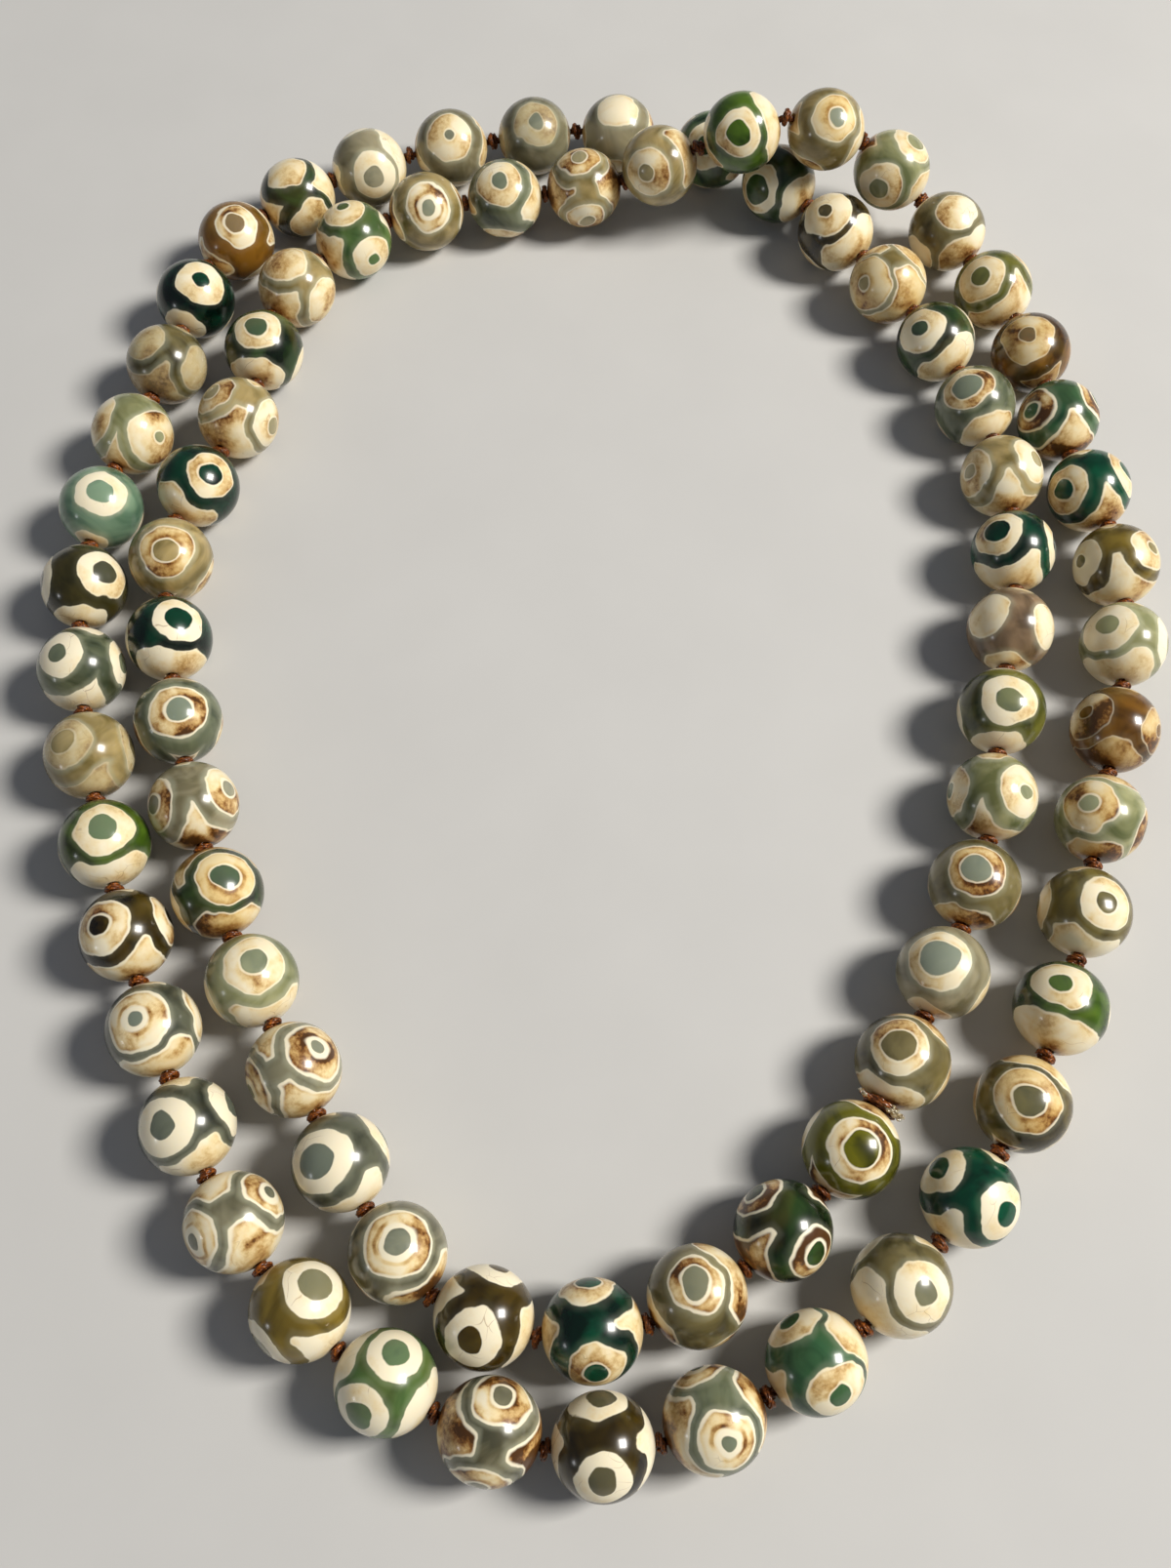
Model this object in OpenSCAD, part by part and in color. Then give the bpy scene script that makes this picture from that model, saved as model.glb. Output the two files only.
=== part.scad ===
// Bead necklace: round drilled stone beads on one waxed cord, with a hand knot
// in each gap and a bigger knot that closes the loop. It lies doubled on a
// table, so that its two turns run side by side and cross once.
// Millimetres, +Z up, with the origin under the middle of the necklace.

/* [Beads] */
// Diameter of a bead
bead_d = 10; // [8:0.5:12]
// Play between the cord and the bore of a bead, all round
bore_play = 0.2; // [0.15:0.05:0.3]

/* [Cord] */
// Diameter of the waxed cord
cord_d = 0.9; // [0.6:0.1:1.2]
// Width of a hand knot
knot_d = 2.4; // [1.8:0.1:3]
// Length of a hand knot along the cord
knot_l = 0.5; // [0.4:0.05:0.9]
// Play between a knot and the beads on its two sides
knot_play = 0.1; // [0.1:0.05:0.2]

/* [Closing knot] */
// Width of the knot that closes the loop
closing_d = 4.2; // [3.4:0.2:5]
// Diameter of the drop of glue on it
glue_d = 1.8; // [1.4:0.2:2.2]
// Length of the two cut ends that stand out of it
end_l = 1.2; // [0.8:0.2:2]
// Diameter of a cut end
end_d = 0.7; // [0.5:0.1:0.9]

/* [Hidden] */

// The route of the string, from the closing knot round both turns: x, y and
// how far the beads are lifted off the table, for beads of this diameter
ROUTE_BEAD_D = 10;
ROUTE = [
    [30.5, 27.5, 0], [20, 15, 0], [11, 8.5, 0], [1, 5, 0], [-10, 6.5, 0],
    [-18.5, 12.5, 0], [-30, 31, 0], [-40, 50, 0], [-46.5, 70.5, 0], [-50, 90, 0],
    [-48.5, 102.5, 0], [-42, 112.5, 0], [-42.5, 123, 0], [-38.5, 133, 0], [-32, 141, 0],
    [-22.5, 146.5, 0], [-12, 148, 0], [-1.5, 150, 0], [8.5, 150, 3], [18, 150.5, 9.5],
    [30, 152, 10.5], [40.5, 150.5, 3], [47.5, 143, 0], [57, 124, 0], [58, 113, 0],
    [63, 97, 0], [63, 82, 0], [57, 59, 0], [50.5, 38, 0], [39, 18.5, 0],
    [23, 3, 0], [2.5, -5, 0], [-18.5, 0.5, 0], [-34.5, 15, 0], [-45, 35, 0],
    [-53, 56, 0], [-58.5, 77, 0], [-59.5, 98, 0], [-53.5, 120, 0], [-48, 140, 0],
    [-31, 153.5, 0], [-8.5, 159.5, 0], [4, 160.5, 0], [17, 158, 0], [25.5, 151.5, 0],
    [39, 134.5, 0], [48.5, 116, 0], [51.5, 96, 0], [47.5, 73, 0], [43, 52.5, 0]
];
route_scale = bead_d / ROUTE_BEAD_D;

// Knots that were tied looser than the rest: the first and the last bead that
// such a knot follows, and how much wider its gap is between such beads
FIRST = 0;
LAST = 1;
EXTRA = 2;
SLACK = [
    [3, 5, 0.2], [14, 14, 0.2], [15, 16, 0.4], [17, 17, 0.2], [19, 19, 0.1],
    [22, 22, 0.1], [23, 23, 1], [24, 24, 1.2], [25, 25, 0.5], [26, 26, 1], [28, 28, 0.1],
    [33, 41, 0.5], [42, 50, 0.2], [51, 56, 0.3], [58, 58, 0.1], [61, 63, 0.8], [64, 64, 2.6],
    [65, 66, 0.2]
];

// Curve steps between two points of the route
ROUTE_STEPS = 12;
CORD_SIDES = 8;
CLOSING_SIDES = 16;
BEAD_SIDES = 48;
SMALL_SIDES = 24;

bore_d = cord_d + 2 * bore_play;
least_gap = knot_l + 2 * knot_play;

// A smooth curve from b to c, with a before them and d after them
function bend(a, b, c, d, t) =
    0.5 * (2 * b + (c - a) * t + (2 * a - 5 * b + 4 * c - d) * t * t
        + (3 * b - a - 3 * c + d) * t * t * t);
function route_point(i) = ROUTE[(i + len(ROUTE)) % len(ROUTE)] * route_scale;
function on_table(p) = [p.x, p.y, max(p.z, 0)];

curve = [
    for (i = [0:len(ROUTE) - 1], k = [0:ROUTE_STEPS - 1])
        on_table(bend(route_point(i - 1), route_point(i), route_point(i + 1), route_point(i + 2),
            k / ROUTE_STEPS)),
    route_point(0)
];
function step(i) = i < len(curve) ? norm(curve[i] - curve[i - 1]) : 0;
run = [for (i = 0, s = 0; i < len(curve); i = i + 1, s = s + step(i)) s];
route_l = run[len(run) - 1];
curve_x = [for (i = [0:len(curve) - 1]) [run[i], curve[i].x]];
curve_y = [for (i = [0:len(curve) - 1]) [run[i], curve[i].y]];
curve_z = [for (i = [0:len(curve) - 1]) [run[i], curve[i].z]];
function curve_at(s) = [lookup(s, curve_x), lookup(s, curve_y), lookup(s, curve_z)];

// The slack after bead i, and over all the beads
function slack_rows(i) = [for (row = SLACK) if (i >= row[FIRST] && i <= row[LAST]) row[EXTRA]];
function slack(i) = route_scale * (len(slack_rows(i)) > 0 ? slack_rows(i)[0] : 0);
function total(list, i = 0) = i < len(list) ? list[i] + total(list, i + 1) : 0;
slack_l = route_scale * total([for (row = SLACK) (row[LAST] - row[FIRST] + 1) * row[EXTRA]]);

// As many beads as the loop holds, with the rest of its length shared by the gaps
bead_count = floor((route_l - slack_l) / (bead_d + least_gap));
even_gap = (route_l - slack_l) / bead_count - bead_d;
first_turn_count = ceil(bead_count / 2);
// The gap after bead i, where 0 and bead_count both mean the closing knot's
function gap(i) = even_gap + slack(i == 0 ? bead_count : i);

// The distance along the curve of each knot, from the closing knot back to it
knot_run = [
    for (i = 0, s = 0; i <= bead_count; i = i + 1, s = s + bead_d + (gap(i - 1) + gap(i)) / 2)
        s
];
laid_knots = [for (s = knot_run) curve_at(s)];
function along(a, b) = (b - a) / norm(b - a);
// A bead lies on the line between two knots, and the room that it leaves there is
// shared as the two gaps are
function on_line(a, b, i) =
    let (room = norm(b - a) - bead_d)
    a + along(a, b) * (bead_d / 2 + room * gap(i - 1) / (gap(i - 1) + gap(i)));
laid_beads = [for (i = [1:bead_count]) on_line(laid_knots[i - 1], laid_knots[i], i)];

// The necklace's middle in x and y, taken from its outermost beads
xs = [for (p = laid_beads) p.x];
ys = [for (p = laid_beads) p.y];
zs = [for (p = laid_beads) p.z];
middle = [
    (min(xs) + max(xs)) / 2,
    (min(ys) + max(ys)) / 2,
    min(zs) - bead_d / 2
];
knots = [for (p = laid_knots) p - middle];
function bead_axis(i) = along(knots[i - 1], knots[i]);
function bead_at(i) = laid_beads[i - 1] - middle;

module point_along(direction) {
    rotate([0, acos(direction.z), atan2(direction.y, direction.x)]) children();
}

module bead(i) {
    translate(bead_at(i))
        point_along(bead_axis(i))
            difference() {
                sphere(d = bead_d, $fn = BEAD_SIDES);
                cylinder(h = 2 * bead_d, d = bore_d, center = true, $fn = SMALL_SIDES);
            }
}

module beads_first_turn() {
    color("darkolivegreen")
        for (i = [1:first_turn_count]) bead(i);
}

module beads_second_turn() {
    color("olivedrab")
        for (i = [first_turn_count + 1:bead_count]) bead(i);
}

// A ring of points round the cord
function ring(centre, direction, r) =
    let (side = along([0, 0, 0], cross(direction, [0, 0, 1])), up = cross(side, direction))
    [
        for (k = [0:CORD_SIDES - 1])
            centre + r * (cos(360 * k / CORD_SIDES) * side + sin(360 * k / CORD_SIDES) * up)
    ];

// The faces of a closed skin over rings that have this many points each
function skin(points, sides) =
    let (
        last = points - sides,
        walls = [
            for (r = [0:sides:last - 1], k = [0:sides - 1])
                let (a = r + k, b = r + (k + 1) % sides, c = b + sides, d = a + sides)
                each [[a, b, c], [a, c, d]]
        ],
        start_cap = [for (k = [sides - 1:-1:0]) k],
        end_cap = [for (k = [0:sides - 1]) last + k]
    )
    concat([start_cap], walls, [end_cap]);

// A hand knot along the cord, as distances from its middle and radii, in
// shares of its length and width
OFFSET = 0;
RADIUS = 1;
knot_rings = [
    [-0.65 * knot_l, cord_d / 2],
    [-0.5 * knot_l, 0.3 * knot_d],
    [-0.3 * knot_l, 0.5 * knot_d],
    [0.3 * knot_l, 0.5 * knot_d],
    [0.5 * knot_l, 0.3 * knot_d],
    [0.65 * knot_l, cord_d / 2]
];
function knot_direction(i) = along([0, 0, 0], bead_axis(i) + bead_axis(i + 1));
function knot(i) = [
    for (row = knot_rings)
        each ring(knots[i] + knot_direction(i) * row[OFFSET], knot_direction(i), row[RADIUS])
];

// The cord's two ends go into the closing knot, this far from its middle
closing_reach = gap(0) / 2 - knot_play / 2;
cord_start = ring(knots[0] + bead_axis(1) * closing_reach, bead_axis(1), cord_d / 2);
cord_end = ring(
    knots[bead_count] - bead_axis(bead_count) * closing_reach,
    bead_axis(bead_count),
    cord_d / 2
);

module knotted_cord() {
    points = concat(cord_start, [for (i = [1:bead_count - 1]) each knot(i)], cord_end);
    color("saddlebrown") polyhedron(points, skin(len(points), CORD_SIDES));
}

// The closing knot fills the wedge between the last bead and the first: each of
// its two faces is as hollow as the bead that it lies against is round
closing_direction = along([0, 0, 0], bead_axis(bead_count) + bead_axis(1));
closing_side = along([0, 0, 0], cross(closing_direction, [0, 0, 1]));
closing_up = cross(closing_side, closing_direction);

// From a point in the knot's middle plane, how far it is to the bead on one side
// of the knot, with the play between them
function to_bead(p, way) =
    let (
        to_middle = bead_at(way > 0 ? 1 : bead_count) - p,
        along_l = way * to_middle * closing_direction,
        reach = bead_d / 2 + knot_play
    )
    along_l - sqrt(reach * reach + along_l * along_l - to_middle * to_middle);

// Rings of the closing knot from the face at the last bead to the face at the
// first one: radius as a share of the knot's, side, and share of the way to the bead
RING_R = 0;
RING_WAY = 1;
RING_REACH = 2;
closing_rings = [
    [0.3, -1, 1], [0.6, -1, 1], [0.9, -1, 1], [1, -1, 0.6],
    [1, 1, 0.6], [0.9, 1, 1], [0.6, 1, 1], [0.3, 1, 1]
];
function closing_ring(row) = [
    for (k = [0:CLOSING_SIDES - 1])
        let (
            turn = 360 * k / CLOSING_SIDES,
            out = cos(turn) * closing_side + sin(turn) * closing_up,
            p = knots[0] + row[RING_R] * closing_d / 2 * out,
            way = row[RING_WAY]
        )
        p + way * row[RING_REACH] * to_bead(p, way) * closing_direction
];

// Places a child on the closing knot's rim, this many degrees round the cord
// from the top
module on_rim(degrees) {
    translate(knots[0])
        point_along(closing_direction)
            rotate([0, 0, degrees])
                translate([-closing_d / 2, 0, 0])
                    rotate([0, -90, 0]) children();
}

// The drop of glue sits as far out as the play between it and the two beads lets it
glue_reach = (bead_d + glue_d) / 2 + knot_play;
glue_out = sqrt(glue_reach * glue_reach - pow((bead_d + gap(0)) / 2, 2)) - closing_d / 2;

module closing_knot() {
    rings = [for (row = closing_rings) each closing_ring(row)];
    color("sienna") {
        polyhedron(rings, skin(len(rings), CLOSING_SIDES));
        on_rim(-35)
            translate([0, 0, glue_out]) sphere(d = glue_d, $fn = SMALL_SIDES);
        for (degrees = [40, 75])
            on_rim(degrees)
                translate([0, 0, -end_d]) cylinder(h = end_l + end_d, d = end_d, $fn = SMALL_SIDES);
    }
}

beads_first_turn();
beads_second_turn();
knotted_cord();
closing_knot();
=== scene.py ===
"""A necklace of polished dzi beads, hand-knotted on a waxed cord and laid doubled on a pale table.

Every length is in metres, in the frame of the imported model, unless a name says otherwise.
"""

import math

import bpy
import numpy as np
from mathutils import Matrix, Vector


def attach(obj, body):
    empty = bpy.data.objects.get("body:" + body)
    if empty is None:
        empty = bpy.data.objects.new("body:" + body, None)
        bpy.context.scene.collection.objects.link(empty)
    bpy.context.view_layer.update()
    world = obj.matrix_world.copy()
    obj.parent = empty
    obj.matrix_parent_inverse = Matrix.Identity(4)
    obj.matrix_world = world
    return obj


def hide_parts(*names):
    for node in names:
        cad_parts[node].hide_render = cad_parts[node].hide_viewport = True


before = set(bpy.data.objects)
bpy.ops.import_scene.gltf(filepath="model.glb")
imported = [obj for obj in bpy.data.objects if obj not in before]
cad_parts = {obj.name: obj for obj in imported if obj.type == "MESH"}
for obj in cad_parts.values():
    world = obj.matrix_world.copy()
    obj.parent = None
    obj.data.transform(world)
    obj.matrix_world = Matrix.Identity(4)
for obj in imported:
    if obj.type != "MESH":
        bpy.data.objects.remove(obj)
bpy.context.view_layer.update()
MM = 0.001

# The photograph's camera: focal length in pixels of its frame, how far it looks down,
# how far it is rolled, and where it stands
PHOTO_W = 1200
PHOTO_H = 1607
FOCAL_PX = 1500
PITCH = math.radians(67.335)
ROLL = math.radians(-0.46)
CAMERA_AT = Vector((-1.852, -77.862, 156.26)) * MM


def add_camera():
    """The photograph's camera, made the scene's own."""
    data = bpy.data.cameras.new("camera")
    data.sensor_width = 36
    data.lens = data.sensor_width * FOCAL_PX / max(PHOTO_W, PHOTO_H)
    data.clip_start = 0.005
    camera = bpy.data.objects.new("camera", data)
    bpy.context.scene.collection.objects.link(camera)
    ahead = Vector((0, math.cos(PITCH), -math.sin(PITCH)))
    right = Vector((1, 0, 0))
    down = ahead.cross(right)
    rolled_right = math.cos(ROLL) * right + math.sin(ROLL) * down
    rolled_down = math.cos(ROLL) * down - math.sin(ROLL) * right
    turn = Matrix((rolled_right, -rolled_down, -ahead)).transposed()
    camera.matrix_world = Matrix.Translation(CAMERA_AT) @ turn.to_4x4()
    bpy.context.scene.camera = camera


add_camera()

# The string, as the part's source has it: all in millimetres
BEAD_D = 10
BEAD_COUNT = 78
BORE_D = 1.3
CLOSING_D = 4.2
ROUTE = [
    [30.5, 27.5, 0], [20, 15, 0], [11, 8.5, 0], [1, 5, 0], [-10, 6.5, 0],
    [-18.5, 12.5, 0], [-30, 31, 0], [-40, 50, 0], [-46.5, 70.5, 0], [-50, 90, 0],
    [-48.5, 102.5, 0], [-42, 112.5, 0], [-42.5, 123, 0], [-38.5, 133, 0], [-32, 141, 0],
    [-22.5, 146.5, 0], [-12, 148, 0], [-1.5, 150, 0], [8.5, 150, 3], [18, 150.5, 9.5],
    [30, 152, 10.5], [40.5, 150.5, 3], [47.5, 143, 0], [57, 124, 0], [58, 113, 0],
    [63, 97, 0], [63, 82, 0], [57, 59, 0], [50.5, 38, 0], [39, 18.5, 0],
    [23, 3, 0], [2.5, -5, 0], [-18.5, 0.5, 0], [-34.5, 15, 0], [-45, 35, 0],
    [-53, 56, 0], [-58.5, 77, 0], [-59.5, 98, 0], [-53.5, 120, 0], [-48, 140, 0],
    [-31, 153.5, 0], [-8.5, 159.5, 0], [4, 160.5, 0], [17, 158, 0], [25.5, 151.5, 0],
    [39, 134.5, 0], [48.5, 116, 0], [51.5, 96, 0], [47.5, 73, 0], [43, 52.5, 0],
]
ROUTE_STEPS = 12
# Looser knots: the first and the last bead that they follow, and how much wider the gap is
SLACK = [
    (3, 5, 0.2), (14, 14, 0.2), (15, 16, 0.4), (17, 17, 0.2), (19, 19, 0.1),
    (22, 22, 0.1), (23, 23, 1), (24, 24, 1.2), (25, 25, 0.5), (26, 26, 1), (28, 28, 0.1),
    (33, 41, 0.5), (42, 50, 0.2), (51, 56, 0.3), (58, 58, 0.1), (61, 63, 0.8), (64, 64, 2.6),
    (65, 66, 0.2),
]


def unit(v):
    return v / np.linalg.norm(v)


def route_curve():
    """The smooth closed curve through the route's points, which keeps on or over the table."""
    route = np.array(ROUTE, float)
    t = (np.arange(ROUTE_STEPS) / ROUTE_STEPS)[:, None]
    curve = []
    for i in range(len(route)):
        a, b, c, d = (route[(i + k) % len(route)] for k in (-1, 0, 1, 2))
        curve.append(
            0.5 * (2 * b + (c - a) * t + (2 * a - 5 * b + 4 * c - d) * t**2)
            + 0.5 * (3 * b - a - 3 * c + d) * t**3
        )
    curve = np.concatenate(curve + [route[:1]])
    curve[:, 2] = np.maximum(curve[:, 2], 0)
    return curve


def lay_string():
    """Where the knots and the beads lie, the way each bead's bore runs, and each knot's gap."""
    curve = route_curve()
    run = np.concatenate([[0], np.cumsum(np.linalg.norm(np.diff(curve, axis=0), axis=1))])
    slack = np.zeros(BEAD_COUNT)
    for first, last, extra in SLACK:
        slack[first : last + 1] = extra
    # Knot 0, the closing knot, comes before bead 0, and knot i after bead i - 1
    gap = (run[-1] - slack.sum()) / BEAD_COUNT - BEAD_D + slack
    gap = np.append(gap, gap[0])
    knot_run = np.concatenate([[0], np.cumsum(BEAD_D + (gap[:-1] + gap[1:]) / 2)])
    knots = np.stack([np.interp(knot_run, run, curve[:, k]) for k in range(3)], axis=1)
    span = knots[1:] - knots[:-1]
    length = np.linalg.norm(span, axis=1)
    ways = span / length[:, None]
    share = gap[:-1] / (gap[:-1] + gap[1:])
    beads = knots[:-1] + ways * (BEAD_D / 2 + (length - BEAD_D) * share)[:, None]
    low, high = beads.min(axis=0), beads.max(axis=0)
    middle = np.array([(low[0] + high[0]) / 2, (low[1] + high[1]) / 2, low[2] - BEAD_D / 2])
    return (knots - middle) * MM, (beads - middle) * MM, ways, gap * MM


KNOTS, BEADS_AT, BEAD_WAYS, GAPS = lay_string()

# Colours are as a screen shows them, from 0 to 255
IVORY = (242, 231, 202)
CREAM = (233, 212, 164)
TAN = (197, 163, 106)
BROWN = (132, 88, 40)
DARK_BROWN = (80, 50, 20)
ETCHED_WHITE = (242, 233, 206)
MILKY = (188, 190, 166)
PUPIL_MILK = (138, 150, 136)
OLIVE_CLOUD = (112, 96, 36)
GOLD = (230, 208, 140)
# What is etched, from clean to most stained, with the painted shade at the bores counted on the same
# scale
STAIN_STOPS = ((0.0, IVORY), (0.3, CREAM), (0.58, TAN), (0.85, BROWN), (1.0, DARK_BROWN))

# The stones: the colour of the deep parts, that of the light ones, how milky it turns
# beside what is etched, and how strong its olive clouds are
STONES = {
    "emerald": ((1, 26, 16), (6, 74, 48), 0.08, 0.0),
    "deep_green": ((1, 16, 10), (6, 56, 36), 0.04, 0.0),
    "sea_green": ((6, 42, 26), (56, 98, 64), 0.18, 0.1),
    "bottle": ((8, 20, 6), (44, 72, 28), 0.12, 0.2),
    "green": ((22, 50, 22), (84, 112, 60), 0.16, 0.2),
    "grass": ((18, 42, 6), (76, 104, 26), 0.12, 0.1),
    "leaf": ((48, 56, 14), (112, 112, 46), 0.2, 0.15),
    "moss": ((22, 27, 3), (106, 104, 16), 0.06, 0.1),
    "teal": ((66, 98, 78), (126, 152, 126), 0.35, 0.0),
    "grey_green": ((50, 60, 42), (112, 118, 92), 0.3, 0.1),
    "pale_green": ((100, 106, 68), (164, 164, 122), 0.4, 0.15),
    "gold_olive": ((52, 40, 5), (130, 110, 42), 0.12, 0.4),
    "olive": ((50, 42, 12), (116, 104, 52), 0.18, 0.3),
    "black_olive": ((20, 20, 6), (56, 51, 20), 0.04, 0.1),
    "dark_olive": ((18, 12, 1), (70, 54, 10), 0.05, 0.3),
    "pale_olive": ((112, 99, 56), (176, 157, 108), 0.4, 0.2),
    "grey_olive": ((64, 59, 34), (126, 116, 78), 0.25, 0.25),
    "grey": ((72, 71, 54), (132, 128, 104), 0.35, 0.1),
    "pale_grey": ((112, 106, 80), (164, 156, 128), 0.4, 0.1),
    "slate": ((44, 47, 36), (94, 96, 80), 0.25, 0.1),
    "mauve": ((92, 75, 56), (150, 126, 98), 0.3, 0.1),
    "amber": ((60, 36, 4), (136, 94, 28), 0.06, 0.2),
}

# How the etched parts were coloured: how much brown stain, how patchy it is, how much more
# of it along their edges and of painted shade towards the bores, how wide the white line
# round them is and the one round the pupil (degrees of the bead), how brown the ring outside
# that one is, how much is cracked, how golden they are, how white the lines are, and how
# plainly all of it shows
LOOK_COLUMNS = (
    "stain", "patchy", "edge", "line", "pupil_line", "ring", "cracks", "golden", "white", "shows"
)
LOOK_ROWS = {
    "ivory": (-0.3, 1.6, 0.0, 2.0, 2.0, 0.0, 0.6, 0.0, 0.5, 1.0),
    "cream": (-0.12, 2.4, 0.12, 2.4, 2.2, 0.08, 0.3, 0.15, 0.7, 1.0),
    "tan": (0.06, 3.2, 0.15, 3.2, 3.0, 0.15, 0.2, 0.15, 0.9, 1.0),
    "golden": (0.04, 2.4, 0.2, 2.2, 2.4, 0.2, 0.2, 0.5, 0.75, 1.0),
    "caramel": (0.2, 2.8, 0.1, 1.6, 1.6, 0.2, 0.1, 0.5, 0.5, 0.85),
    "brown": (0.44, 3.2, 0.2, 3.8, 3.6, 0.2, 0.2, 0.15, 0.95, 1.0),
    "ringed": (-0.04, 2.8, 0.25, 4.0, 7.5, 0.5, 0.2, 0.15, 0.95, 1.0),
    "faint": (-0.05, 2.4, 0.1, 2.0, 2.0, 0.1, 0.1, 0.3, 0.5, 0.5),
}
LOOKS = {look: dict(zip(LOOK_COLUMNS, row)) for look, row in LOOK_ROWS.items()}

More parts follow.
